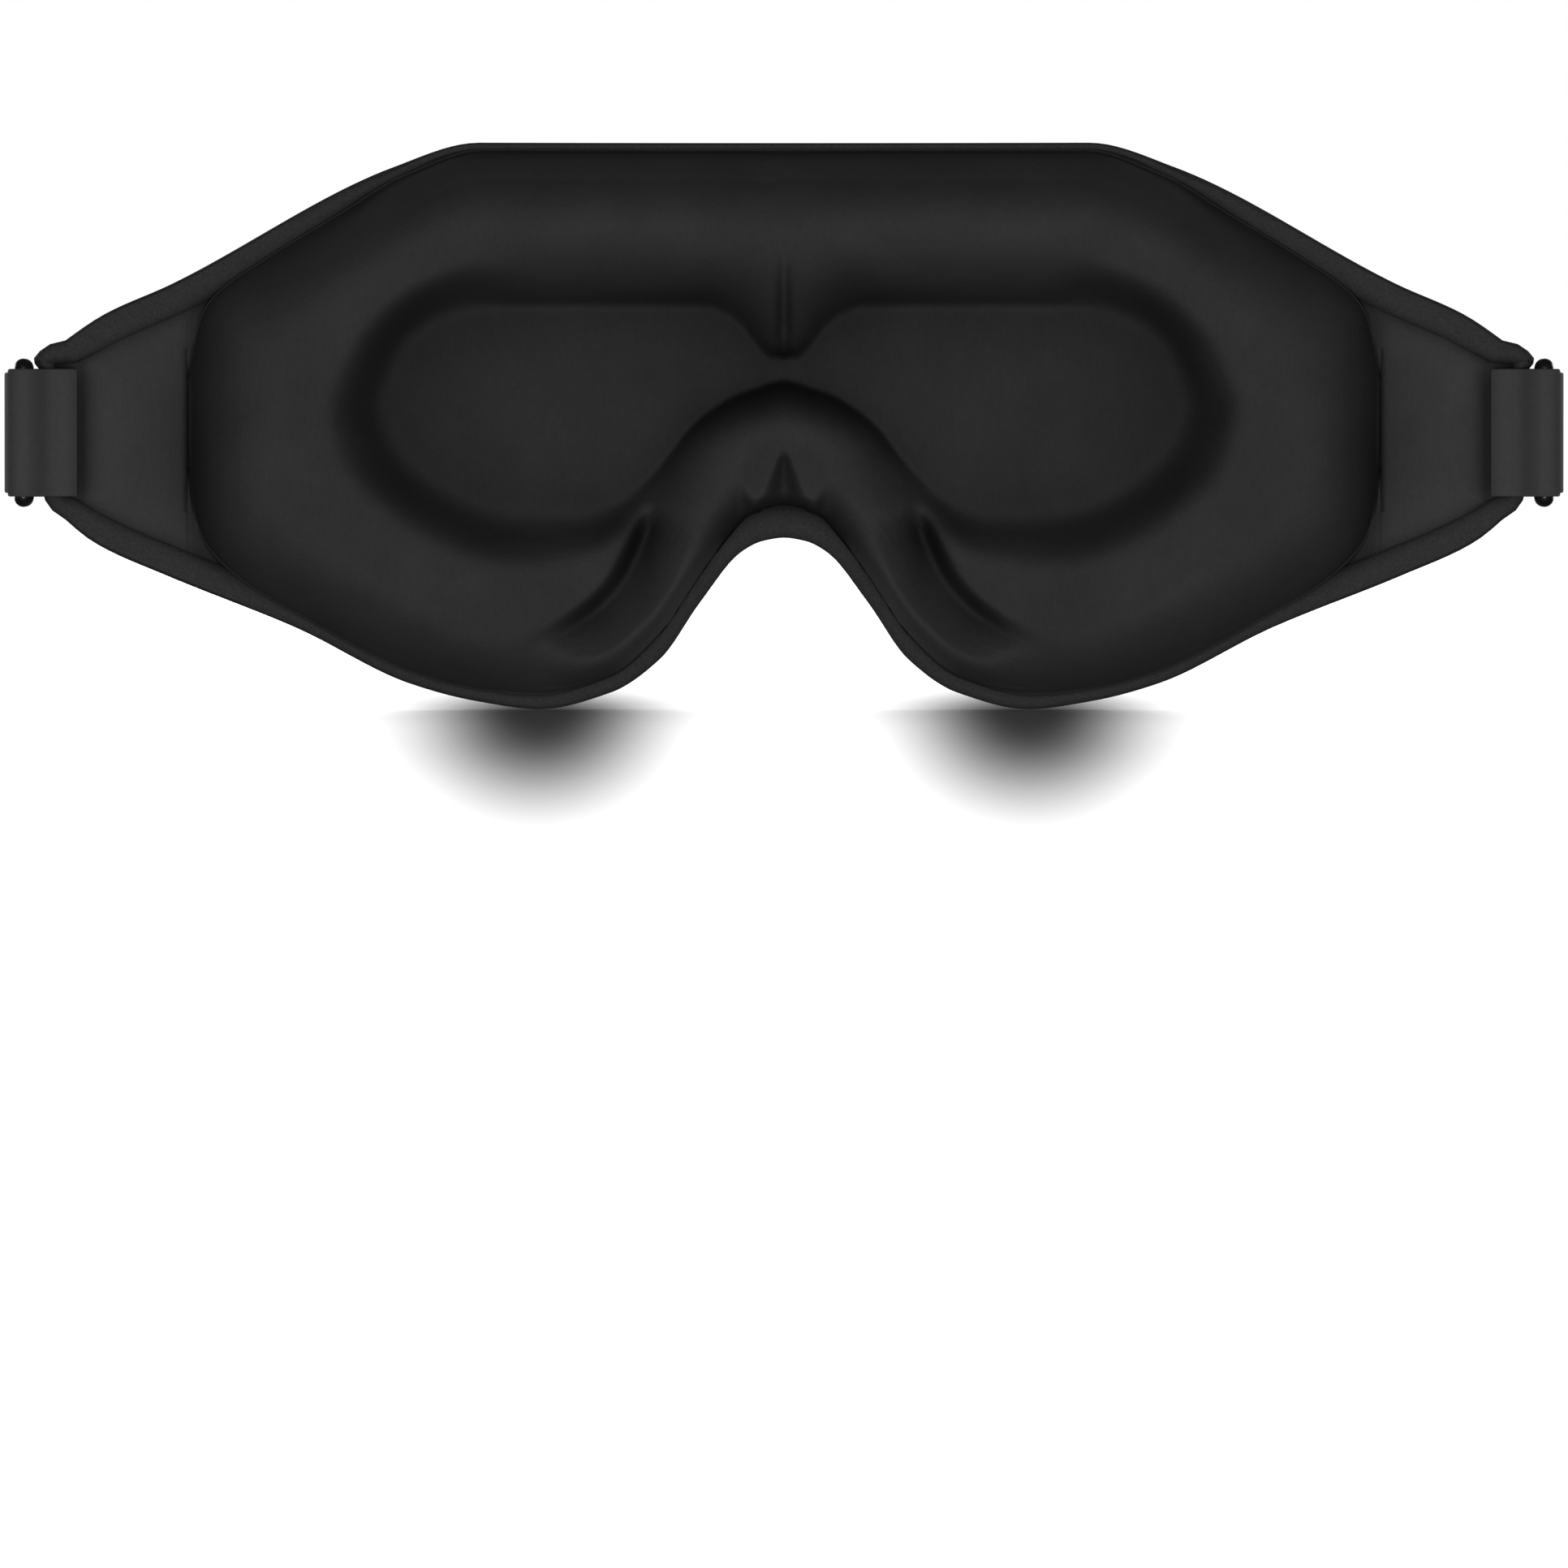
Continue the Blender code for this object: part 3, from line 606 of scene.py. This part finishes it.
def face_grid():
    """Columns and rows of the lining, with its height over the foam sheet at each place.

    On the pad, most rows lie between its lower and upper edges, and the rest run out to the edges of the mask.
    On the wings the rows carry on over the flat panel.
    """
    xs = half_columns()
    t = np.linspace(0, 1, PAD_STEPS)
    rows = t - 0.10 * np.sin(2 * pi * t)
    on_pad = xs <= PAD_END
    low_edge, high_edge = inset(BOTTOM_EDGE, xs, EDGE_INSET), inset(TOP_EDGE, xs, EDGE_INSET)
    band = (high_edge - low_edge) * 0.22
    low = np.where(on_pad, through(PAD_BOTTOM, xs), low_edge + band)
    high = np.where(on_pad, through(PAD_TOP, xs), high_edge - band)
    z = low + rows[:, None] * (high - low)
    x = np.broadcast_to(xs, z.shape)
    over_pad = np.broadcast_to(on_pad, z.shape)
    height, to_edge = relief(x, z, over_pad)
    # The rim hangs over its upper edge along the brow
    overhang = np.maximum(1 - to_edge / (5 * MM), 0) * smoothstep(0, 7 * MM, height)
    reach = 1.3 * MM * (1 - smoothstep(52 * MM, 74 * MM, x)) * (z > 20 * MM)
    height = np.where(over_pad, height + PAD_FLANGE + LINING_CLEARANCE, 0)
    z = z + np.where(over_pad, overhang * reach, 0)
    margin = np.linspace(0, 1, MARGIN_STEPS)[:, None] ** 0.8
    z_low = low_edge + margin * (low - GRID_GAP - low_edge)
    z_high = high_edge + margin[::-1] * (high + GRID_GAP - high_edge)
    z = np.concatenate([z_low, z, z_high])
    x = np.broadcast_to(xs, z.shape)
    none = np.zeros((len(margin), len(xs)))
    height = np.concatenate([none, height, none])
    height += np.where(height > 0, 0, pillow(x, z))
    return x, z, height


def make_lining(word, side, grid):
    x, z, height = grid
    near = place(x, PAD_DEPTH + height, z, side)
    far = place(x, PAD_DEPTH + height + LINING, z, side)
    piece = slab(f"{word}_face_lining", near, far, SMOOTH, 87)
    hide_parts("face_lining", f"{word}_wing_lining")
    cut_from()
    flex(piece)


def make_foam(word, side, grid):
    """The foam sheet and the moulded pad, as one core under the lining."""
    x, z, height = grid
    keep = slice(3, -3, 3), slice(None, None, 2)    # every third row and every second column
    x, z, height = x[keep], z[keep], height[keep]
    near = place(x, COVER + FOAM_GAP, z, side)
    far = place(x, PAD_DEPTH - FOAM_GAP + np.maximum(height - LINING_CLEARANCE, 0), z, side)
    piece = slab(f"{word}_foam_core", near, far, FOAM)
    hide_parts("front_foam", "moulded_pad", f"{word}_wing_foam")
    flex(piece)


def crown(x, z):
    """How far the cover's face stands proud of its bound edge."""
    height, run, tuck = 2.6 * MM, 9 * MM, 0.6 * MM
    return height * (1 - np.exp(-distance(MASK_OUTLINE, x, z) / run)) - tuck


def make_cover(word, side):
    xs = np.concatenate([np.linspace(0, 90, 60), np.linspace(91.5, 114.9, 18)]) * MM
    rows = np.linspace(0, 1, 56)
    low, high = inset(BOTTOM_EDGE, xs, EDGE_INSET), inset(TOP_EDGE, xs, EDGE_INSET)
    z = low + rows[:, None] * (high - low)
    x = np.broadcast_to(xs, z.shape)
    lift = crown(x, z)
    piece = slab(f"{word}_front_cover", place(x, COVER - lift * 0.6, z, side), place(x, -lift, z, side), KNIT)
    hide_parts("front_cover", f"{word}_wing_cover")
    cut_from()
    flex(piece)


def flex(piece):
    """Bakes a fabric piece's place into its mesh."""
    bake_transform(piece)


def edge_path():
    """The half outline from the middle of the top, round the wing's end, to the top of the nose notch."""
    xs = np.concatenate([np.linspace(0, 46, 14), np.linspace(48, 112.5, 44)]) * MM
    top = np.stack([xs, through(TOP_EDGE, xs)], 1)
    corner = [(114.9, 13.9), (116.5, 12.8), (117.4, 11.7), (117.3, 10.8), (116.5, 9.8)]
    end = [(116.0, z) for z in np.linspace(8, -8, 7)]
    lower_corner = [(116.0, -9.4), (115.7, -10.6), (114.6, -12.2)]
    xs = np.concatenate([np.linspace(112.5, 48, 40), np.linspace(46.5, 0, 60)]) * MM
    bottom = np.stack([xs, through(BOTTOM_EDGE, xs)], 1)
    return np.concatenate([top, np.array(corner + end + lower_corner) * MM, bottom])


def flap_widths(path):
    """Widths of the binding's front and face flaps at each point of the path."""
    x, z = path[:, 0], path[:, 1]
    to_pad = distance(PAD_OUTLINE, x, z) + 0.8 * MM
    tight = 1 - 0.5 * smoothstep(111.5 * MM, 114 * MM, x)
    face = np.clip(face_flap(x, z > 0), 0.9 * MM, to_pad) * tight
    front_flap = np.where(z > 0, 2.6, 3.9) * MM * tight
    for _ in range(6):
        face[1:-1] = (face[:-2] + 2 * face[1:-1] + face[2:]) / 4
        front_flap[1:-1] = (front_flap[:-2] + 2 * front_flap[1:-1] + front_flap[2:]) / 4
    return front_flap, face


# Each place across the binding: the flap, how far along it (or millimetres inside the edge), and the depth
BINDING_PROFILE = [("front", 1.0, 0.25), ("front", 0.95, -0.35), ("front", 0.84, -0.85), ("front", 0.66, -1.05),
                   ("edge", 1.5, -1.10), ("edge", 0.9, -0.85), ("edge", 0.5, -0.3), ("edge", 0.38, 0.8),
                   ("edge", 0.38, 2.2), ("edge", 0.38, 3.6), ("edge", 0.46, 4.6), ("edge", 0.75, 5.3),
                   ("face", 0.50, 5.75), ("face", 0.70, 5.75), ("face", 0.86, 5.5), ("face", 0.96, 5.1),
                   ("face", 1.0, 4.75)]


def make_binding(word, side):
    """A tape folded over the edge, from the front flap round to the face flap, all along the half outline."""
    path = edge_path()
    along = np.gradient(path, axis=0)
    along /= np.linalg.norm(along, axis=1)[:, None]
    along[0], along[-1] = (1, 0), (-1, 0)
    inward = np.stack([along[:, 1], -along[:, 0]], 1)
    front_flap, face = flap_widths(path)
    flaps = {"front": front_flap, "face": face}
    columns = []
    for zone, reach, depth in BINDING_PROFILE:
        inside = flaps[zone] * reach if zone in flaps else np.full(len(path), reach * MM)
        spot = path + inward * inside[:, None]
        columns.append(place(np.maximum(spot[:, 0], 0), np.full(len(path), depth * MM), spot[:, 1], side))
    piece = tape(f"{word}_edge_binding", np.stack(columns, 1), 0.7 * MM, TAPE)
    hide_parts("top_binding", "lower_binding", f"{word}_wing_binding")
    flex(piece)


# Elastic, rings and sliders

def web_section():
    """The elastic's cross-section, as (thickness, height) points, with rounded long edges."""
    half, top, soft = ELASTIC / 2, ELASTIC_WIDTH / 2, 0.32 * MM
    section = []
    for quarter, (out, up) in enumerate(((1, 1), (-1, 1), (-1, -1), (1, -1))):
        for step in range(4):
            angle = pi / 2 * (quarter + step / 3)
            section.append((out * (half - soft) + soft * cos(angle), up * (top - soft) + soft * sin(angle)))
    return section


def ribbon(name, route, narrowing=0.0):
    """A length of elastic on edge along (x, y) points, which may draw in a little where it turns a corner."""
    route = np.array(route)
    along = np.gradient(route, axis=0)
    along /= np.linalg.norm(along, axis=1)[:, None]
    thick, height = np.array(web_section()).T
    narrow = np.broadcast_to(1 - np.asarray(narrowing), len(route))
    verts = np.zeros((len(route), len(thick), 3))
    verts[..., 0] = route[:, :1] + along[:, 1:] * thick
    verts[..., 1] = route[:, 1:] - along[:, :1] * thick
    verts[..., 2] = height * narrow[:, None]
    count = len(thick)
    faces = [(r * count + c, r * count + (c + 1) % count, (r + 1) * count + (c + 1) % count, (r + 1) * count + c)
             for r in range(len(route) - 1) for c in range(count)]
    faces += [tuple(range(count)), tuple(range((len(route) - 1) * count, len(route) * count))]
    piece = new_piece(name, verts.reshape(-1, 3), faces, WEB)
    piece.data.set_sharp_from_angle(angle=radians(60))
    return piece


def loop_route(side):
    """From the sewn end on the wing, round the ring's bar, and back to the sewn end on top."""
    route = [(x * MM, front(x * MM) - LOOP_INNER) for x in np.linspace(111.2, 116.2, 8)]
    for angle in np.linspace(radians(110), radians(-110), 28):
        route.append((RING_X + LOOP_TURN * cos(angle), RING_Y + LOOP_TURN * sin(angle)))
    for x, rise in ((116.8, 1.2), (115.9, 0.5), (115.0, 0.1), (114.2, 0.15), (113.4, 0.45), (112.4, 0.6),
                    (111.5, 0.45), (110.9, 0.1)):
        route.append((x * MM, front(x * MM) - LOOP_OUTER - rise * MM))
    return [(side * x, y) for x, y in route]


def make_loop(word, side):
    """The loop that holds the ring. It draws in a little where it turns round the ring's bar."""
    route = loop_route(side)
    at_turn = smoothstep(119.6 * MM, 121.2 * MM, np.abs(np.array(route)[:, 0]))
    piece = ribbon(f"{word}_loop", route, 0.06 * at_turn ** 2)
    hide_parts(f"{word}_end_loop")
    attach(piece, f"{word}_wing")


def strap_point(distance_along, offset=0.0):
    """A point of the strap's right half, offset towards the mask, and the heading there."""
    x, y, heading = RING_X + LEG_OFFSET, RING_Y + RING_REACH, radians(90)
    runs = [(LEAD_STRAIGHT, 0.0), (LEAD_BEND_RADIUS * LEAD_BEND, LEAD_BEND), (ADJUSTER_RUN, 0.0)]
    left = distance_along
    for length, turn in runs + [(arc_length(), radians(90) - LEAD_BEND)]:
        used = min(left, length)
        if turn:
            radius = length / turn
            swept = used / radius
            x += radius * (cos(heading) * sin(swept) - sin(heading) * (1 - cos(swept)))
            y += radius * (sin(heading) * sin(swept) + cos(heading) * (1 - cos(swept)))
            heading += swept
        else:
            x += used * cos(heading)
            y += used * sin(heading)
        left -= used
    return x - offset * sin(heading), y + offset * cos(heading), heading


def arc_length():
    """Length of the strap's last curve, from the end of the slider's run to the middle."""
    bend = LEAD_BEND_RADIUS * (1 - cos(LEAD_BEND))
    reached = RING_X + LEG_OFFSET - bend - ADJUSTER_RUN * sin(LEAD_BEND)
    return reached / cos(LEAD_BEND) * (radians(90) - LEAD_BEND)


BEND_END = LEAD_STRAIGHT + LEAD_BEND_RADIUS * LEAD_BEND
ADJUSTER_AT = BEND_END + ADJUSTER_PLACE
HALF_STRAP = BEND_END + ADJUSTER_RUN + arc_length()


def strap_route(side, start, end, offset=0.0, step=1.0 * MM):
    """Points along the strap between two distances from the ring."""
    count = max(3, round((end - start) / step) + 1)
    points = [strap_point(s, offset) for s in np.linspace(start, end, count)]
    return [(side * x, y) for x, y, _ in points]


def strap_spot(side, s, offset=0.0):
    x, y, _ = strap_point(s, offset)
    return (side * x, y, 0.0)


def make_strap(word, side):
    """The strap's turn round the ring, its two layers, and its sewn end."""
    turn = [(LEG_OFFSET, TURN_LEG)]
    turn += [(LEG_OFFSET * cos(a), -LEG_OFFSET * sin(a)) for a in np.linspace(0, pi, 19)]
    turn.append((-LEG_OFFSET, TURN_LEG))
    route = [(side * (RING_X + x), RING_Y + RING_REACH + y) for x, y in turn]
    wrap = ribbon(f"{word}_strap_wrap", route)
    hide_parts(f"{word}_strap_turn")
    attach(wrap, f"{word}_ring_body")
    last_route = strap_route(side, BEND_END, ADJUSTER_AT - TAIL, RETURN_OFFSET, 0.5 * MM)
    last = ribbon(f"{word}_return_c", last_route)
    for label, offset, node in (("lead", 0.0, "strap_lead"), ("return", RETURN_OFFSET, "strap_return")):
        route = strap_route(side, TURN_LEG, LEAD_SPLIT, offset)
        first = ribbon(f"{word}_{label}_a", route)
        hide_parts(f"{word}_{node}")
        strap_spot(side, TURN_LEG, offset)
        strap_spot(side, LEAD_SPLIT, offset)
        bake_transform(first)
        route = strap_route(side, LEAD_SPLIT, BEND_END, offset)
        second = ribbon(f"{word}_{label}_b", route)
        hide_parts(f"{word}_{node}")
        strap_spot(side, LEAD_SPLIT, offset)
        strap_spot(side, BEND_END, offset)
        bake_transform(second)
    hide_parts(f"{word}_strap_return")
    strap_spot(side, BEND_END, RETURN_OFFSET)
    strap_spot(side, ADJUSTER_AT - TAIL, RETURN_OFFSET)
    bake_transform(last)


def make_band():
    """The single layer of the strap between the two slider runs."""
    right = strap_route(1, BEND_END, HALF_STRAP, 0.0, 2.0 * MM)
    left = [(-x, y) for x, y in right]
    route = left + right[-2::-1]
    band = ribbon("strap_band_web", route)
    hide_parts("strap_band")
    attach(band, "mask")


def adjuster_frame(side):
    """The slider's place on the strap, and the directions along the strap and out of it."""
    x, y, heading = strap_point(ADJUSTER_AT)
    along = Vector((side * cos(heading), sin(heading), 0))
    out = Vector((side * sin(heading), -cos(heading), 0))
    return Vector((side * x, y, 0)), along, out


def make_strap_tail(word, side):
    """The strap's end: beside the band, round the slider's middle bar, and sewn back onto itself."""
    place_at, along, out = adjuster_frame(side)
    upper, lower = -1.3 * MM, -RETURN_OFFSET
    middle, radius = (upper + lower) / 2, (upper - lower) / 2
    turn_at = 0.9 * MM
    folded = lower + ELASTIC + 0.1 * MM
    route = [(a * MM, lower) for a in np.linspace(-9.5, 0, 8)]
    route += [(turn_at + radius * sin(a), middle - radius * cos(a)) for a in np.linspace(0, pi, 17)]
    fall = np.linspace(0, 1, 9)
    route += [(-2.0 * MM - 3.5 * MM * t, upper + (folded - upper) * t * t * (3 - 2 * t)) for t in fall]
    route += [(a * MM, folded) for a in (-6.5, -8.0, -9.3)]
    points = [place_at + along * a + out * b for a, b in route]
    route = [(p.x, p.y) for p in points]
    tail = ribbon(f"{word}_strap_tail", route)
    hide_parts(f"{word}_strap_end")
    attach(tail, f"{word}_slider")


def frame_piece(name, boxes, matrix, rounding):
    """Boxes joined by Boolean unions, with rounded edges, applied to one mesh."""
    made = []
    for low, high in boxes:
        low, high = Vector(low), Vector(high)
        fit = Matrix.Translation((low + high) / 2) @ Matrix.Diagonal((*(high - low), 1.0))
        bm = bmesh.new()
        bmesh.ops.create_cube(bm, size=1.0, matrix=matrix @ fit)
        bmesh.ops.recalc_face_normals(bm, faces=bm.faces[:])
        mesh = bpy.data.meshes.new(name)
        bm.to_mesh(mesh)
        bm.free()
        made.append(put(name, mesh))
    base = made[0]
    for other in made[1:]:
        union = base.modifiers.new("join", "BOOLEAN")
        union.operation = "UNION"
        union.object = other
    soft = base.modifiers.new("rounded", "BEVEL")
    soft.width = rounding
    soft.segments = 3
    soft.limit_method = "ANGLE"
    base.modifiers.new("tidy", "WELD").merge_threshold = 0.00001
    bpy.context.view_layer.update()
    final = bpy.data.meshes.new_from_object(base.evaluated_get(bpy.context.evaluated_depsgraph_get()))
    for item in made:
        bpy.data.objects.remove(item, do_unlink=True)
    final.materials.clear()
    final.materials.append(PLASTIC)
    final.shade_smooth()
    final.set_sharp_from_angle(angle=radians(40))
    return put(name, final)


def make_ring(word, side):
    """A moulded loop, edge-on to the face: a round section swept round a rectangle, domed outside on its rails."""
    half, corner = RING_HEIGHT / 2, 1.6 * MM
    bar, rail_out, rail_in = RING_BAR_Y / 2, 1.45 * MM, 0.1 * MM
    corner_steps, around = 6, 20
    sections = []
    for quarter, (back, up) in enumerate(((1, 1), (0, 1), (0, -1), (1, -1))):
        y, z = back * RING_REACH + (corner - bar) * (1 - 2 * back), up * (half - corner)
        for step in range(corner_steps + 1):
            angle = pi / 2 * (quarter + step / corner_steps)
            outward = (cos(angle), sin(angle))
            bar_share = outward[0] ** 2
            outer = bar * bar_share + rail_out * (1 - bar_share)
            inner = bar * bar_share + rail_in * (1 - bar_share)
            middle = (y + outward[0] * (corner - outer), z + outward[1] * (corner - outer))
            ring = []
            for turn in np.linspace(0, 2 * pi, around, endpoint=False):
                out = sin(turn) * (outer if sin(turn) > 0 else inner)
                ring.append((side * RING_X + RING_BAR_X / 2 * cos(turn),
                             RING_Y + middle[0] + outward[0] * out, middle[1] + outward[1] * out))
            sections.append(ring)
    verts = [point for ring in sections for point in ring]
    count = len(sections)
    faces = [(r * around + c, r * around + (c + 1) % around,
              ((r + 1) % count) * around + (c + 1) % around, ((r + 1) % count) * around + c)
             for r in range(count) for c in range(around)]
    piece = new_piece(f"{word}_end_ring", verts, faces, PLASTIC)
    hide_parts(f"{word}_ring")
    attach(piece, f"{word}_ring_body")


def make_slider(word, side):
    """The strap slider: two end bars outside the strap, a middle bar inside it, and two rails."""
    place_at, along, out = adjuster_frame(side)
    turned = Matrix((along, out, Vector((0, 0, 1)))).transposed().to_4x4()
    turned.translation = place_at
    low, high, slot, rail = -3.3 * MM, 2.0 * MM, 10.4 * MM, 1.6 * MM
    reach, bar, thick = 6.3 * MM, 2.0 * MM, 1.2 * MM
    middle, end = 1.3 * MM, slot + rail / 2
    boxes = [((-reach, low, slot), (reach, high, slot + rail)),
             ((-reach, low, -slot - rail), (reach, high, -slot)),
             ((-middle, low, -end), (middle, low + thick, end)),
             ((-reach, high - thick, -end), (bar - reach, high, end)),
             ((reach - bar, high - thick, -end), (reach, high, end))]
    piece = frame_piece(f"{word}_slider_frame", boxes, turned, 0.4 * MM)
    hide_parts(f"{word}_adjuster")
    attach(piece, f"{word}_slider")


# Stage, lights and camera

def aim(thing, where, target):
    """Puts a lamp or the camera in its place, pointed at a target."""
    thing.location = where
    thing.rotation_mode = "QUATERNION"
    thing.rotation_quaternion = (Vector(target) - thing.location).to_track_quat("-Z", "Y")


def area_light(name, where, size, power):
    lamp = bpy.data.lights.new(name, "AREA")
    lamp.shape = "RECTANGLE"
    lamp.size, lamp.size_y = size
    lamp.energy = power
    light = put(name, lamp)
    aim(light, where, (0, 0, 0))
    light.visible_camera = False


def make_stage():
    """A pale sweep that the mask stands on, which falls away in front of it and rises a little behind it."""
    level = through(BOTTOM_EDGE, LOBE_X) - 0.1 * MM
    slope, bend, bend_at, far = radians(32), 20 * MM, -2 * MM, 6.0
    rise, rise_at, rise_run = 6 * MM, 1 * MM, 60 * MM
    profile = [(far, level + rise), (80 * MM, level + rise)]
    for share in np.linspace(1, 0, 12):
        profile.append((rise_at + rise_run * share, level + rise * (1 - (1 - share) ** 1.6)))
    for angle in np.linspace(0, slope, 9):
        profile.append((bend_at - bend * sin(angle), level - bend * (1 - cos(angle))))
    y, z = profile[-1]
    profile.append((y - far * cos(slope), z - far * sin(slope)))
    points = np.array([[(x, y, z) for x in (-far, far)] for y, z in profile])
    floor = new_piece("floor", points.reshape(-1, 3), grid_faces(len(profile), 2), pale_floor())
    floor.visible_diffuse = False
    floor.visible_glossy = False
    floor.visible_shadow = False
    only_floor = bpy.data.collections.new("lit_by_floor_lamp")
    only_floor.objects.link(floor)
    lamp = bpy.data.lights.new("floor_lamp", "SUN")
    lamp.energy = 3.8
    lamp.angle = radians(70)
    lamp.use_shadow = False
    sun = put("floor_lamp", lamp)
    sun.rotation_euler = (radians(-4), 0, 0)
    sun.light_linking.receiver_collection = only_floor


def make_world():
    """White where the camera sees it, and a faint fill on everything else."""
    world = bpy.data.worlds.new("studio")
    bpy.context.scene.world = world
    world.use_nodes = True
    tree = world.node_tree
    tree.nodes.clear()
    seen = add(tree, "ShaderNodeLightPath")
    mixed = add(tree, "ShaderNodeMixShader")
    output = add(tree, "ShaderNodeOutputWorld")
    fill, seen_strength = 0.08, 1.0
    for socket, strength in ((1, fill), (2, seen_strength)):
        backdrop = add(tree, "ShaderNodeBackground", Color=(1, 1, 1, 1), Strength=strength)
        tree.links.new(backdrop.outputs[0], mixed.inputs[socket])
    tree.links.new(seen.outputs["Is Camera Ray"], mixed.inputs[0])
    tree.links.new(mixed.outputs[0], output.inputs["Surface"])


def make_lights():
    area_light("front_softbox", (0, -2.0, -0.12), (0.45, 0.45), 33)
    for side in (-1, 1):
        area_light("back_softbox", (1.5 * side, 1.5, 0.25), (0.9, 0.9), 30)


def make_camera():
    """A long lens level with the strap, aimed low so that the mask sits in the upper half of the picture."""
    lens = bpy.data.cameras.new("camera")
    lens.lens = 400
    lens.sensor_width = 36
    camera = put("camera", lens)
    aim(camera, (0, -2.752, 0), (0, -0.034, -0.0548))
    bpy.context.scene.camera = camera
    bpy.context.scene.view_settings.view_transform = "Standard"


make_camera()
make_world()
make_lights()
make_stage()
GRID = face_grid()
for word, side in SIDES:
    make_cover(word, side)
    make_lining(word, side, GRID)
    make_foam(word, side, GRID)
    make_binding(word, side)
    make_loop(word, side)
    make_ring(word, side)
    make_strap(word, side)
    make_strap_tail(word, side)
    make_slider(word, side)
make_band()
